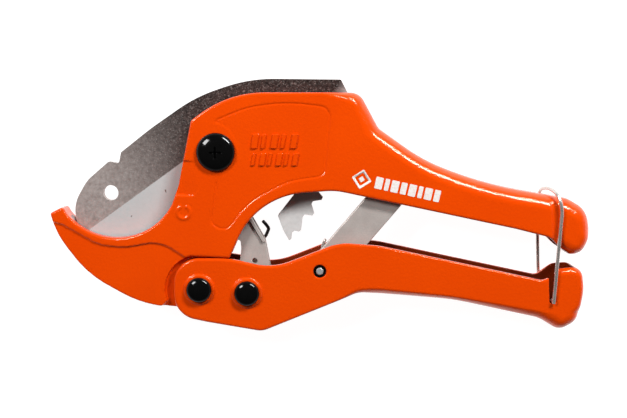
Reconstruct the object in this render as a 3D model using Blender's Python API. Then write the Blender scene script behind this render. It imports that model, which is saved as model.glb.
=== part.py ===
"""Ratcheting plastic-pipe cutter, lying on its side.

+X runs from the jaw to the handle ends, +Y from the moving handle to the fixed one, +Z up, away from the
table. The origin is on the blade's pivot axis, at the flat back face of its nut, which rests on the table.
Lengths in the design are in millimetres and are turned into metres as each mesh is made.
"""
import math

import bmesh
import bpy
from mathutils import Vector

MM = 0.001

# Heights of the layers, measured from the middle plane of the tool
MID = 10.5
CAST_HALF = 8.5
LUG_HALF = 5.7
CHANNEL_HALF = 5.5
EAR_GAP_HALF = 6.1
BLADE_HALF = 1.5
SLOT_HALF = 1.9
PAWL_INNER = 1.9
PAWL_OUTER = 3.7
STRUT_LOW = 2.1
STRUT_HIGH = 4.9
GAP = 0.3

# Pivot axes, all parallel to Z
BLADE_PIVOT = (0.0, 0.0)
HANDLE_PIVOT = (-7.0, -53.5)
PAWL_PIVOT = (11.6, -54.9)
STRUT_PIVOT = (40.0, -46.4)
CLIP_PIVOT = (131.0, -58.0)

# Pins and screws
BLADE_SCREW_R = 4.0
BLADE_HEAD_R = 7.45
BLADE_HEAD_H = 3.2
BLADE_NUT_R = 7.2
PIN_R = 2.6
PIN_HEAD_R = 4.8
PIN_HEAD_H = 2.4
PIN_PAD_R = 5.8
PIN_PAD_H = 0.7
STRUT_PIN_R = 1.45
STRUT_PIN_SINK = 1.2
STRUT_HOLE_R = 2.6
DRIVE_PIN_R = 1.2

# Blade and ratchet
BLADE_TIP_REACH = 63.0
BLADE_TAIL_REACH = 57.4
TOOTH_TIP_R = 45.0
TOOTH_ROOT_R = 41.6
TOOTH_ANGLES = (-51.0, -44.0, -33.5, -24.0)
REST_NOTCH_R = 38.3
REST_NOTCH_ANGLES = (-17.9, -12.2)
TOOTH_SWEEP_R = 45.4
GRIND_WIDTH = 13.6
GRIND_EDGE = 0.3
GRIND_ANGLE = 35.8
HANG_HOLE = (-42.0, -16.3, 3.0)

# Strut, pawl and wire clip
STRUT_LENGTH = 46.0
STRUT_ANGLE = 49.5
STRUT_LEFT = 4.9
STRUT_RIGHT = 7.6
PAWL_LENGTH = 23.8
PAWL_ANGLE = 101.0
CLIP_WIRE_R = 0.7
CLIP_HALF = CAST_HALF + GAP + CLIP_WIRE_R

# Tools that cut holes reach this far past the middle plane, clear of every face
THROUGH = 12.0

ORANGE = (0.80, 0.10, 0.008)
STEEL = (0.36, 0.34, 0.32)
ZINC = (0.50, 0.47, 0.43)
BLACK = (0.012, 0.012, 0.013)


# Outlines

def arc(centre, radius, start, end, steps):
    """Points on an arc, from one angle to another in degrees."""
    points = []
    for i in range(steps + 1):
        angle = math.radians(start + (end - start) * i / steps)
        points.append((centre[0] + radius * math.cos(angle), centre[1] + radius * math.sin(angle)))
    return points


def rounded(corners, turn_per_step=12.0):
    """The closed outline through corners (x, y) or (x, y, radius), each radius as a tangent arc."""
    outline = []
    count = len(corners)
    for i, corner in enumerate(corners):
        here = Vector(corner[:2])
        if len(corner) == 2 or corner[2] == 0:
            outline.append(tuple(here))
            continue
        before = (Vector(corners[i - 1][:2]) - here).normalized()
        after = (Vector(corners[(i + 1) % count][:2]) - here).normalized()
        spread = before.angle(after)
        turn = math.pi - spread
        tangent = corner[2] / math.tan(spread / 2)
        start = here + before * tangent
        centre = here + (before + after).normalized() * (corner[2] / math.sin(spread / 2))
        first = math.atan2(start.y - centre.y, start.x - centre.x)
        side = 1.0 if before.x * after.y - before.y * after.x < 0 else -1.0
        steps = max(2, round(math.degrees(turn) / turn_per_step))
        for k in range(steps + 1):
            angle = first + side * turn * k / steps
            outline.append((centre.x + corner[2] * math.cos(angle), centre.y + corner[2] * math.sin(angle)))
    return outline


# Solids

def material(name, colour, metallic, roughness):
    mat = bpy.data.materials.new(name)
    mat.use_nodes = True
    shader = mat.node_tree.nodes["Principled BSDF"]
    shader.inputs["Base Color"].default_value = (*colour, 1.0)
    shader.inputs["Metallic"].default_value = metallic
    shader.inputs["Roughness"].default_value = roughness
    mat.diffuse_color = (*colour, 1.0)
    return mat


def make_object(name, bm, mat=None, origin=(0.0, 0.0, 0.0), smooth=True):
    """A mesh object whose own origin is a point given in millimetres."""
    bmesh.ops.recalc_face_normals(bm, faces=bm.faces[:])
    bmesh.ops.translate(bm, verts=bm.verts[:], vec=-Vector(origin))
    bmesh.ops.scale(bm, verts=bm.verts[:], vec=(MM, MM, MM))
    mesh = bpy.data.meshes.new(name)
    bm.to_mesh(mesh)
    bm.free()
    if mat:
        mesh.materials.append(mat)
    if smooth:
        mesh.shade_smooth()
        mesh.set_sharp_from_angle(angle=math.radians(35))
    obj = bpy.data.objects.new(name, mesh)
    obj.location = Vector(origin) * MM
    bpy.context.scene.collection.objects.link(obj)
    return obj


def add_prism(bm, outline, low, high):
    """Extrude a closed outline between two heights above the middle plane."""
    verts = [bm.verts.new((x, y, MID + low)) for x, y in outline]
    face = bm.faces.new(verts)
    raised = bmesh.ops.extrude_face_region(bm, geom=[face])
    top = [v for v in raised["geom"] if isinstance(v, bmesh.types.BMVert)]
    bmesh.ops.translate(bm, verts=top, vec=(0, 0, high - low))


def add_turned(bm, centre, profile, steps=32):
    """Turn a profile of (radius, height above the middle plane) about a vertical axis."""
    rings = []
    for radius, height in profile:
        if radius == 0:
            rings.append([bm.verts.new((centre[0], centre[1], MID + height))])
            continue
        ring = []
        for x, y in arc(centre, radius, 0, 360, steps)[:-1]:
            ring.append(bm.verts.new((x, y, MID + height)))
        rings.append(ring)
    for low, high in zip(rings, rings[1:]):
        for k in range(steps):
            after = (k + 1) % steps
            corners = [low[k % len(low)], low[after % len(low)], high[after % len(high)], high[k % len(high)]]
            bm.faces.new(list(dict.fromkeys(corners)))
    if len(rings[0]) > 1 and len(rings[-1]) > 1:
        if profile[0] == profile[-1]:
            bmesh.ops.remove_doubles(bm, verts=rings[0] + rings[-1], dist=0.0001)
        else:
            bm.faces.new(rings[0])
            bm.faces.new(rings[-1])


def add_tube(bm, path, radius, sides=8):
    """A closed round wire along a path of points, with flat ends."""
    frames = []
    normal = Vector((0, 0, 1))
    for i, point in enumerate(path):
        ahead = Vector(path[min(i + 1, len(path) - 1)]) - Vector(path[max(i - 1, 0)])
        ahead.normalize()
        normal = normal - ahead * normal.dot(ahead)
        if normal.length < 0.1:
            normal = ahead.orthogonal()
        normal.normalize()
        frames.append((Vector(point), normal.copy(), ahead.cross(normal)))
    rings = []
    for point, across, side in frames:
        ring = []
        for k in range(sides):
            angle = 2 * math.pi * k / sides
            offset = across * math.cos(angle) + side * math.sin(angle)
            ring.append(bm.verts.new(point + offset * radius))
        rings.append(ring)
    for low, high in zip(rings, rings[1:]):
        for k in range(sides):
            after = (k + 1) % sides
            bm.faces.new((low[k], low[after], high[after], high[k]))
    bm.faces.new(rings[0])
    bm.faces.new(rings[-1])


def prism(name, outline, low, high, mat=None, origin=(0.0, 0.0, 0.0)):
    bm = bmesh.new()
    add_prism(bm, outline, low, high)
    return make_object(name, bm, mat, origin)


def turned(name, centre, profile, mat=None, steps=32):
    bm = bmesh.new()
    add_turned(bm, centre, profile, steps)
    return make_object(name, bm, mat, (centre[0], centre[1], MID))


def wire(name, path, radius, mat, origin, sides=8):
    bm = bmesh.new()
    add_tube(bm, path, radius, sides)
    return make_object(name, bm, mat, origin)


def cylinder(name, centre, radius, low, high, steps=32):
    return turned(name, centre, [(radius, low), (radius, high)], None, steps)


def carry(carrier, *pieces):
    """Parent pieces to the one that carries them, leaving them where they are."""
    for piece in pieces:
        piece.parent = carrier
        piece.location = piece.location - carrier.location


def combine(target, tool, operation):
    """Add a Boolean to an object, and show its tool as a guide only."""
    tool.hide_render = True
    tool.display_type = "WIRE"
    step = target.modifiers.new(tool.name, "BOOLEAN")
    step.operation = operation
    step.solver = "EXACT"
    step.object = tool


def cut(target, tool):
    combine(target, tool, "DIFFERENCE")


def join(target, tool):
    combine(target, tool, "UNION")


def round_edges(obj, width, segments=2):
    step = obj.modifiers.new("edges", "BEVEL")
    step.width = width * MM
    step.segments = segments
    step.limit_method = "ANGLE"
    step.angle_limit = math.radians(50)


def slab(name, corner, normal, size):
    """A large block whose bottom face passes through a point and faces against a normal."""
    bm = bmesh.new()
    bmesh.ops.create_cube(bm, size=size)
    bmesh.ops.translate(bm, verts=bm.verts[:], vec=(0, 0, size / 2))
    turn = Vector((0, 0, 1)).rotation_difference(Vector(normal).normalized())
    bmesh.ops.rotate(bm, verts=bm.verts[:], matrix=turn.to_matrix())
    bmesh.ops.translate(bm, verts=bm.verts[:], vec=corner)
    return make_object(name, bm, None, smooth=False)


# Outlines of the castings

def body_outline():
    """Both cheeks, the hook jaw and the fixed handle, clockwise from the front top corner."""
    x, y = HANDLE_PIVOT
    ear_relief = arc((x, y), 13.4, 104, 200, 10)
    cradle = arc((-39.4, -8.4), 25.1, 219, 332, 16)
    corners = [(-9.5, 12.0, 1.5), (5.0, 22.8, 42), (55.4, 22.8, 6), (62.8, 9.0, 5.5), (79.7, -2.9, 70),
               (102.0, -12.2, 150), (136.7, -18.9, 9), (143.8, -23.6, 7), (145.2, -33.5, 9),
               (139.0, -42.2, 4), (129.5, -33.2, 8), (116.0, -29.8, 40), (46.0, -14.9, 25)]
    corners += arc((36.0, -46.2), 30.5, 94, 170, 14)
    corners += ear_relief
    corners += [(-21.8, -60.2, 1.0), (-31.0, -58.8, 22), (-51.0, -48.1, 30), (-63.4, -32.0, 22),
                (-65.5, -24.1, 0.8), (-60.4, -21.5, 1.2)]
    corners += cradle + [(-14.6, -13.0, 14)]
    return rounded(corners)


def lug_outline():
    """The thin tongue of the fixed body that the two ears of the moving handle straddle."""
    x, y = HANDLE_PIVOT
    return rounded([(-28.0, -50.0), (-24.0, -38.0), (3.8, -38.0), (3.8, y, 9.0), (1.8, y - 9.0, 7.0),
                    (-13.0, y - 9.0, 7.0), (-16.5, -59.6, 2.0), (-24.0, -59.0)])


def handle_outline():
    """The ears, the grip and the end knob of the moving handle, clockwise from the top of the ears."""
    return rounded([(-17.0, -41.3, 10), (5.0, -41.3, 40), (21.5, -45.3, 24), (47.5, -35.2, 22),
                    (63.0, -36.4, 40), (129.0, -50.4, 2.5), (134.0, -45.2, 4), (142.2, -44.6, 4),
                    (143.4, -54.0, 20), (141.4, -66.8, 5), (134.5, -70.4, 5), (126.5, -65.5, 14),
                    (92.0, -57.7, 80), (55.0, -54.2, 12), (17.5, -70.3, 8), (-4.0, -66.6, 20),
                    (-17.0, -63.8, 10)])


def tooth_outline():
    """Ratchet teeth on the tang, from its end towards the tail, and the deep notch for the open blade."""
    points = []
    for angle in TOOTH_ANGLES:
        points += arc((0, 0), TOOTH_TIP_R, angle - 0.7, angle + 0.9, 1)
        points += arc((0, 0), TOOTH_ROOT_R, angle + 2.6, angle + 4.6, 1)
    points += arc((0, 0), REST_NOTCH_R, *REST_NOTCH_ANGLES, 3)
    points += arc((0, 0), TOOTH_TIP_R, -10.6, -9.2, 1)
    return points


def blade_outline():
    """The blade, clockwise from the tail: spine, nose, cutting edge, hub and toothed tang."""
    spine = [(48.2, 27.8, 0.6), (12.5, 28.2, 30), (-8.8, 21.0, 60), (-37.7, -0.4, 0.6), (-38.6, -4.8, 1.0),
             (-42.6, -4.0, 0.8), (-50.8, -11.6, 14), (-56.1, -21.5, 14), (-54.0, -31.0, 9),
             (-46.2, -42.3, 3), (-41.5, -40.9, 2)]
    hub = [(-7.5, -16.4, 6), (4.0, -17.5, 12), (22.0, -9.0, 8), (32.9, -9.4, 1.5), (30.7, -16.0, 3),
           (23.5, -25.3, 1.0), (25.6, -31.0)]
    tail = [(42.6, -4.0, 2), (45.5, 8.0, 20), (50.9, 22.6, 1.2)]
    return rounded(spine + hub + tooth_outline() + tail)


def pawl_outline():
    return rounded([(17.6, -58.9, 4), (21.2, -47.0, 6), (18.9, -35.0, 3), (13.0, -25.4, 1.4), (4.4, -26.0, 2),
                    (4.4, -33.6, 1.5), (8.9, -34.9, 1.0), (9.2, -38.0, 6), (7.4, -54.0, 6), (8.2, -59.0, 3.6)])


# Pieces

def fixed_body(mat):
    """Cast body: two cheeks over the blade, hook jaw, handle channel open underneath, and pivot lug."""
    body = prism("fixed_body", body_outline(), -CAST_HALF, CAST_HALF, mat)
    lean = 4.0 / 40.0
    for side, name in ((1, "hook_taper_top"), (-1, "hook_taper_bottom")):
        cut(body, slab(name, (-24.0, -30.0, MID + side * CAST_HALF), (-lean, 0, side), 120.0))
    round_edges(body, 1.1)
    join(body, prism("lug", lug_outline(), -LUG_HALF, LUG_HALF))
    sweep = arc(BLADE_PIVOT, BLADE_TIP_REACH, 190, 240, 12)
    sweep += arc(BLADE_PIVOT, TOOTH_SWEEP_R, 248, 315, 12)
    sweep += arc(BLADE_PIVOT, BLADE_TAIL_REACH, 320, 391, 16)
    sweep += [(40.0, 36.0), (-30.0, 36.0)]
    cut(body, prism("blade_slot", sweep, -SLOT_HALF, SLOT_HALF))
    hollow = rounded([(-9.0, -12.0, 4), (-8.2, 7.0, 4), (7.5, 18.0, 12), (52.0, 18.0, 6), (58.0, 6.3, 6),
                      (78.0, -7.6, 60), (101.0, -15.6, 100), (133.5, -21.8, 4), (139.6, -27.0, 4),
                      (140.0, -32.0, 3), (134.0, -46.0), (60.0, -46.0), (5.2, -41.5), (2.0, -33.0, 6),
                      (2.0, -25.0, 6)])
    cut(body, prism("handle_channel", hollow, -CHANNEL_HALF, CHANNEL_HALF))
    cut(body, cylinder("blade_bore", BLADE_PIVOT, BLADE_SCREW_R + GAP, -THROUGH, THROUGH))
    cut(body, cylinder("lug_bore", HANDLE_PIVOT, PIN_R + GAP, -THROUGH, THROUGH))
    groove = [(129.2, -10.0), (132.4, -10.0), (134.2, -40.0), (131.0, -40.0)]
    cut(body, prism("clip_groove", groove, CAST_HALF - 0.7, CAST_HALF + 3))
    return body


def moving_handle(mat):
    """Cast handle: two ears, channel open on top, end knob, pads under the pins and slots for the clip."""
    handle = prism("moving_handle", handle_outline(), -CAST_HALF, CAST_HALF, mat,
                   (*HANDLE_PIVOT, MID))
    round_edges(handle, 1.6, 3)
    for number, pivot in enumerate((HANDLE_PIVOT, PAWL_PIVOT)):
        pad = [(PIN_PAD_R, CAST_HALF - 2), (PIN_PAD_R, CAST_HALF + PIN_PAD_H - 0.3),
               (PIN_PAD_R - 0.4, CAST_HALF + PIN_PAD_H)]
        join(handle, turned(f"pad_{number}", pivot, pad))
    hollow = rounded([(-30.0, -30.0), (-30.0, -80.0), (2.2, -80.0), (2.2, -63.6, 1.5), (17.5, -66.4, 8),
                      (55.5, -48.8, 14), (92.0, -52.6, 80), (124.0, -60.0, 12), (134.5, -66.3, 4),
                      (138.5, -63.6, 3), (140.0, -54.0, 12), (139.0, -30.0)])
    cut(handle, prism("grip_channel", hollow, -EAR_GAP_HALF, EAR_GAP_HALF))
    for number, pivot in enumerate((HANDLE_PIVOT, PAWL_PIVOT)):
        cut(handle, cylinder(f"pin_bore_{number}", pivot, PIN_R + GAP, -THROUGH, THROUGH))
    cut(handle, cylinder("strut_bore", STRUT_PIVOT, STRUT_PIN_R + GAP, -12, 12, 20))
    for side, name in ((1, "strut_recess_top"), (-1, "strut_recess_bottom")):
        low, high = sorted((side * (CAST_HALF - STRUT_PIN_SINK), side * THROUGH))
        cut(handle, cylinder(name, STRUT_PIVOT, STRUT_HOLE_R, low, high, 24))
    slot = arc(CLIP_PIVOT, CLIP_WIRE_R + 0.5, 180, 360, 8)
    slot += [(CLIP_PIVOT[0] + 0.4, -44.0), (CLIP_PIVOT[0] - 2.0, -44.0)]
    cut(handle, prism("clip_slot", slot, -THROUGH, THROUGH))
    return handle


def blade(mat):
    """Ground steel blade with a hang hole, a spine notch and a toothed tang for the ratchet."""
    plate = prism("blade", blade_outline(), -BLADE_HALF, BLADE_HALF, mat, (*BLADE_PIVOT, MID))
    along = math.radians(GRIND_ANGLE)
    lean = (BLADE_HALF - GRIND_EDGE / 2) / GRIND_WIDTH
    toward_edge = Vector((math.sin(along), -math.cos(along), 0))
    for side, name in ((1, "grind_top"), (-1, "grind_bottom")):
        wedge = grind_wedge(name, side, toward_edge, lean)
        cut(plate, wedge)
    cut(plate, cylinder("blade_hole", BLADE_PIVOT, BLADE_SCREW_R + GAP, -4, 4))
    cut(plate, cylinder("hang_hole", HANG_HOLE[:2], HANG_HOLE[2], -4, 4))
    return plate


def grind_wedge(name, side, toward_edge, lean):
    """The steel ground away beside the cutting edge, ending at the body's front."""
    start = Vector((-15.5, -5.4, 0))
    far_end = Vector((-72.0, -46.1, 0))
    width = GRIND_WIDTH + 12
    bm = bmesh.new()
    rows = []
    for base in (start, far_end):
        row = []
        for across, rise in ((0.0, 0.0), (width, -lean * width), (width, 6.0), (0.0, 6.0)):
            point = base + toward_edge * across
            row.append(bm.verts.new((point.x, point.y, MID + side * (BLADE_HALF + rise))))
        rows.append(row)
    for k in range(4):
        after = (k + 1) % 4
        bm.faces.new((rows[0][k], rows[0][after], rows[1][after], rows[1][k]))
    bm.faces.new(rows[0])
    bm.faces.new(rows[1])
    return make_object(name, bm, None, smooth=False)


def blade_screw(mat):
    """Domed head with a cross recess, and a shank down to the nut."""
    dome = []
    for step in range(6):
        angle = math.radians(90 * (1 - step / 5))
        dome.append((BLADE_HEAD_R * math.sin(angle) if step < 5 else 0.0,
                     CAST_HALF + 0.9 + (BLADE_HEAD_H - 0.9) * math.cos(angle)))
    profile = [(0.0, -CAST_HALF - 1.4), (BLADE_SCREW_R, -CAST_HALF - 1.4), (BLADE_SCREW_R, CAST_HALF + 0.2),
               (BLADE_HEAD_R, CAST_HALF + 0.2)] + dome
    screw = turned("blade_screw", BLADE_PIVOT, profile, mat)
    top = CAST_HALF + BLADE_HEAD_H
    for number, (half_x, half_y) in enumerate(((2.3, 0.45), (0.45, 2.3))):
        bar = [(-half_x, -half_y), (half_x, -half_y), (half_x, half_y), (-half_x, half_y)]
        cut(screw, prism(f"recess_{number}", bar, top - 1.5, top + 1))
    return screw


def blade_nut(mat):
    """Round nut with two flats; its outer face is the flat that the tool rests on."""
    flats = rounded([(6.2, 7.0), (6.2, -7.0), (-6.2, -7.0), (-6.2, 7.0)])
    nut = turned("blade_nut", BLADE_PIVOT, [(0.0, -MID), (BLADE_NUT_R - 0.5, -MID),
                                            (BLADE_NUT_R, -MID + 0.5), (BLADE_NUT_R, -CAST_HALF - GAP),
                                            (0.0, -CAST_HALF - GAP)], mat)
    combine(nut, prism("nut_flats", flats, -MID - 1, -CAST_HALF + 1), "INTERSECT")
    cut(nut, cylinder("nut_thread", BLADE_PIVOT, BLADE_SCREW_R + GAP, -CAST_HALF - 1.7, -CAST_HALF + 1))
    return nut


def spacer(name, low, high, mat):
    """Washer on the screw that keeps the blade in the middle of the body's hollow."""
    inner = BLADE_SCREW_R + GAP
    return turned(name, BLADE_PIVOT, [(inner, low), (inner + 1.8, low), (inner + 1.8, high), (inner, high),
                                      (inner, low)], mat)


def headed_pin(name, pivot, mat):
    """Domed head on the raised pad, and a shank through both ears."""
    base = CAST_HALF + PIN_PAD_H + 0.2
    dome = []
    for step in range(5):
        angle = math.radians(90 * (1 - step / 4))
        dome.append((PIN_HEAD_R * math.sin(angle) if step < 4 else 0.0,
                     base + 0.5 + (PIN_HEAD_H - 0.5) * math.cos(angle)))
    profile = [(0.0, -CAST_HALF - 1.3), (PIN_R, -CAST_HALF - 1.3), (PIN_R, base), (PIN_HEAD_R, base)] + dome
    return turned(name, pivot, profile, mat, 28)


def pin_retainer(name, pivot, mat):
    """Push-on cap on the end of a pin."""
    inner = PIN_R + GAP
    return turned(name, pivot, [(inner, -CAST_HALF - 1.3), (PIN_HEAD_R - 0.6, -CAST_HALF - 1.3),
                                (PIN_HEAD_R, -CAST_HALF - 0.9), (PIN_HEAD_R, -CAST_HALF - GAP),
                                (inner, -CAST_HALF - GAP), (inner, -CAST_HALF - 1.3)], mat, 28)


def pawl(mat):
    """Folded pawl: two side plates straddling the toothed tang, joined by a web below it."""
    outline = pawl_outline()
    piece = prism("pawl", outline, -PAWL_OUTER, PAWL_OUTER, mat, (*PAWL_PIVOT, MID))
    hollow = rounded([(0.0, -20.0), (0.0, -66.0), (13.0, -66.0), (16.6, -56.0), (18.6, -49.0), (20.4, -46.5),
                      (30.0, -46.0), (30.0, -20.0)])
    cut(piece, prism("pawl_gap", hollow, -PAWL_INNER, PAWL_INNER))
    cut(piece, cylinder("pawl_bore", PAWL_PIVOT, PIN_R + GAP, -6, 6))
    cut(piece, cylinder("drive_bore", drive_point(), DRIVE_PIN_R + GAP, -6, 6, 20))
    return piece


def drive_point():
    turn = math.radians(PAWL_ANGLE)
    return (PAWL_PIVOT[0] + PAWL_LENGTH * math.cos(turn), PAWL_PIVOT[1] + PAWL_LENGTH * math.sin(turn))


def drive_pin(mat):
    """Rivet across the pawl's plates that pushes on the ratchet teeth."""
    head = PAWL_OUTER + GAP
    return turned("pawl_drive_pin", drive_point(), [(0.0, -head - 0.5), (1.8, -head - 0.5), (1.8, -head),
                                                    (DRIVE_PIN_R, -head), (DRIVE_PIN_R, head), (1.8, head),
                                                    (1.8, head + 0.5), (0.0, head + 0.5)], mat, 20)


def pawl_spring(mat):
    """One-coil spring on the far side of the pawl, with a leg that hooks its edge."""
    x, y = PAWL_PIVOT
    level = MID - PAWL_OUTER - GAP - 0.45
    path = [(4.4, -63.2, level - 1.1), (5.6, -60.4, level - 1.1)]
    for i in range(25):
        share = i / 24
        angle = math.radians(200 + 510 * share)
        path.append((x + 3.5 * math.cos(angle), y + 3.5 * math.sin(angle), level - 1.1 + 1.1 * share))
    path += [(16.6, -46.5, level), (18.2, -36.0, level), (19.4, -33.6, level),
             (20.1, -31.9, level + 0.8), (20.2, -31.0, level + 1.6), (19.3, -29.8, level + 2.4),
             (17.8, -28.0, level + 2.8)]
    return wire("pawl_spring", path, 0.4, mat, (x, y, MID), 6)


def strut_axes():
    turn = math.radians(STRUT_ANGLE)
    return Vector((math.cos(turn), math.sin(turn))), Vector((math.sin(turn), -math.cos(turn)))


def strut_point(along, across):
    direction, right = strut_axes()
    point = Vector(STRUT_PIVOT) + direction * along + right * across
    return (point.x, point.y)


def strut(mat):
    """Flat link from the moving handle up into the fixed handle's channel."""
    corners = [(*strut_point(-5.2, -STRUT_LEFT), 4.6), (*strut_point(STRUT_LENGTH + 5.0, -STRUT_LEFT), 5),
               (*strut_point(STRUT_LENGTH + 5.0, STRUT_RIGHT), 6), (*strut_point(-5.2, STRUT_RIGHT), 6)]
    plate = prism("strut", rounded(corners), STRUT_LOW, STRUT_HIGH, mat, (*STRUT_PIVOT, MID))
    cut(plate, cylinder("strut_bore_low", STRUT_PIVOT, STRUT_PIN_R + GAP, 0, 8, 20))
    cut(plate, cylinder("strut_bore_high", strut_point(STRUT_LENGTH, 1.3), 1.6 + GAP, 0, 8, 20))
    return plate


def strut_pin(mat):
    half = CAST_HALF - STRUT_PIN_SINK + 0.2
    end = STRUT_PIN_R - 0.3
    profile = [(0.0, -half), (end, -half), (STRUT_PIN_R, -half + 0.3), (STRUT_PIN_R, half - 0.3), (end, half),
               (0.0, half)]
    return turned("strut_pin", STRUT_PIVOT, profile, mat, 20)


def slide_pin(mat):
    """Pin across the strut's upper end, which runs along the fixed handle's channel."""
    half = CHANNEL_HALF - GAP
    return turned("strut_slide_pin", strut_point(STRUT_LENGTH, 1.3), [(0.0, -half), (1.6, -half), (1.6, half),
                                                                      (0.0, half)], mat, 20)


def strut_spring(mat):
    """Torsion spring round the strut's pin: one leg on the channel floor, the other on the strut's edge."""
    x, y = STRUT_PIVOT
    turns = 4.25
    low = MID - EAR_GAP_HALF + 1.0
    rise = STRUT_LOW + EAR_GAP_HALF - 2.0
    path = [(56.0, -47.4, low), (50.0, -49.6, low), (44.6, -50.0, low)]
    for i in range(52):
        share = i / 51
        angle = math.radians(-70 + 360 * turns * share)
        path.append((x + 3.0 * math.cos(angle), y + 3.0 * math.sin(angle), low + rise * share))
    high = low + rise
    path += [(*strut_point(8.5, -4.0), high), (*strut_point(10.8, -STRUT_LEFT - 0.7), high + 0.6),
             (*strut_point(11.4, -STRUT_LEFT - 1.1), high + 2.2),
             (*strut_point(11.0, -STRUT_LEFT - 1.0), high + 3.4)]
    return wire("strut_spring", path, 0.55, mat, (x, y, MID), 6)


def blade_spring(mat):
    """Torsion spring round the lower spacer that pushes the blade open."""
    turns = 1.4
    low = MID - CHANNEL_HALF + 0.9
    path = [(22.0, 12.5, low), (12.0, 9.6, low), (5.0, 7.9, low)]
    for i in range(23):
        share = i / 22
        angle = math.radians(80 + 360 * turns * share)
        path.append((7.1 * math.cos(angle), 7.1 * math.sin(angle), low + 1.7 * share))
    path += [(-3.5, -9.0, low + 1.7), (6.0, -12.5, low + 1.7)]
    return wire("blade_spring", path, 0.5, mat, (0.0, 0.0, MID), 6)


def clip_path():
    """One wire: a foot in each wall's slot, a leg up each side, and an arch over the fixed handle."""
    x, y = CLIP_PIVOT
    up = MID + CLIP_HALF
    down = MID - CLIP_HALF
    near = [(x, y, MID + EAR_GAP_HALF + 0.8), (x, y, up - 0.9), (x + 0.1, y + 0.4, up - 0.15),
            (x + 0.2, y + 1.6, up)]
    far = [(x - 1.6, y + 6.0, down), (x - 0.3, y + 1.3, down), (x - 0.05, y + 0.3, down + 0.2),
           (x, y, down + 0.9), (x, y, MID - EAR_GAP_HALF - 0.8)]
    arch = [(133.3, -29.0, up), (133.4, -22.0, up), (133.2, -18.0, up - 0.2), (132.6, -16.4, up - 1.2),
            (132.2, -15.9, up - 3.0), (131.2, -15.6, MID), (130.2, -15.4, down + 3.0),
            (129.8, -15.7, down + 1.2), (129.6, -17.1, down + 0.2), (129.3, -20.5, down),
            (128.7, -30.0, down), (128.9, -45.0, down)]
    return near + arch + far


def wire_clip(mat):
    return wire("wire_clip", clip_path(), CLIP_WIRE_R, mat, (*CLIP_PIVOT, MID), 8)


def build():
    for obj in list(bpy.data.objects):
        bpy.data.objects.remove(obj, do_unlink=True)
    fixed_body(material("fixed_body", ORANGE, 0.0, 0.38))
    blade_screw(material("blade_screw", BLACK, 0.0, 0.25))
    blade_nut(material("blade_nut", BLACK, 0.0, 0.35))
    wall = CHANNEL_HALF - GAP
    spacer("blade_spacer_upper", BLADE_HALF + GAP, wall, material("blade_spacer_upper", ZINC, 1.0, 0.35))
    spacer("blade_spacer_lower", -wall, -BLADE_HALF - GAP, material("blade_spacer_lower", ZINC, 1.0, 0.35))
    blade_spring(material("blade_spring", BLACK, 0.6, 0.4))
    blade(material("blade", STEEL, 1.0, 0.42))

    handle = moving_handle(material("moving_handle", ORANGE, 0.0, 0.38))
    pivot = headed_pin("handle_pin", HANDLE_PIVOT, material("handle_pin", BLACK, 0.0, 0.25))
    cap_mat = material("handle_pin_retainer", BLACK, 0.0, 0.35)
    pivot_cap = pin_retainer("handle_pin_retainer", HANDLE_PIVOT, cap_mat)
    axle = headed_pin("pawl_pin", PAWL_PIVOT, material("pawl_pin", BLACK, 0.0, 0.25))
    cap_mat = material("pawl_pin_retainer", BLACK, 0.0, 0.35)
    axle_cap = pin_retainer("pawl_pin_retainer", PAWL_PIVOT, cap_mat)
    link_pin = strut_pin(material("strut_pin", ZINC, 1.0, 0.3))
    link_spring = strut_spring(material("strut_spring", ZINC, 1.0, 0.3))

    catch = pawl(material("pawl", ZINC, 1.0, 0.4))
    rivet = drive_pin(material("pawl_drive_pin", ZINC, 1.0, 0.35))
    catch_spring = pawl_spring(material("pawl_spring", BLACK, 0.6, 0.4))
    link = strut(material("strut", ZINC, 1.0, 0.4))
    runner = slide_pin(material("strut_slide_pin", ZINC, 1.0, 0.3))
    clip = wire_clip(material("wire_clip", ZINC, 1.0, 0.25))

    carry(catch, rivet, catch_spring)
    carry(link, runner)
    carry(handle, pivot, pivot_cap, axle, axle_cap, link_pin, link_spring, catch, link, clip)


build()
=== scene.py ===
"""Ratcheting plastic-pipe cutter, lying on its side: castings, steel parts, finishes, light and camera.

Same axes as the frame: +X from the jaw to the handle ends, +Y from the moving handle to the fixed one, +Z up.
Shapes are worked out in millimetres from the blade's pivot and turned into metres as each mesh is made.
"""
import math

import bmesh
import bpy
import numpy as np
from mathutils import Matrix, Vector


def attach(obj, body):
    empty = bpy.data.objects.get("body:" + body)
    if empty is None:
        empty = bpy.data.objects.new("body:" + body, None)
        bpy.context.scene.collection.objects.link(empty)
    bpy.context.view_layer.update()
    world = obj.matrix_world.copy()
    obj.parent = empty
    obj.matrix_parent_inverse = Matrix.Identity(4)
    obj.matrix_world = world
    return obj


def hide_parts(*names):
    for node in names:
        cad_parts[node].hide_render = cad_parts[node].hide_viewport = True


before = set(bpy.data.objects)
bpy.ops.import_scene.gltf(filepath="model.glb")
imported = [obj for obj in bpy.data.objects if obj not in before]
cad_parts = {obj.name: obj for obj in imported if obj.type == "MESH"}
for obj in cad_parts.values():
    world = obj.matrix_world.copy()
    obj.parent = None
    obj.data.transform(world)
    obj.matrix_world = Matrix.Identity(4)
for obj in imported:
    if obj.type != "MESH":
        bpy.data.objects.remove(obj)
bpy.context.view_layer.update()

MM = 0.001

# Heights of the layers, measured from the middle plane of the tool
MID = 10.5
CAST_HALF = 8.5
LUG_HALF = 5.7
CHANNEL_HALF = 5.5
EAR_GAP_HALF = 6.1
BLADE_HALF = 1.5
SLOT_HALF = 1.9
PAWL_INNER = 1.9
PAWL_OUTER = 3.7
STRUT_LOW = 2.1
STRUT_HIGH = 4.9
GAP = 0.3
THROUGH = 30.0  # a height beyond every face, for cuts that go right through

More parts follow.
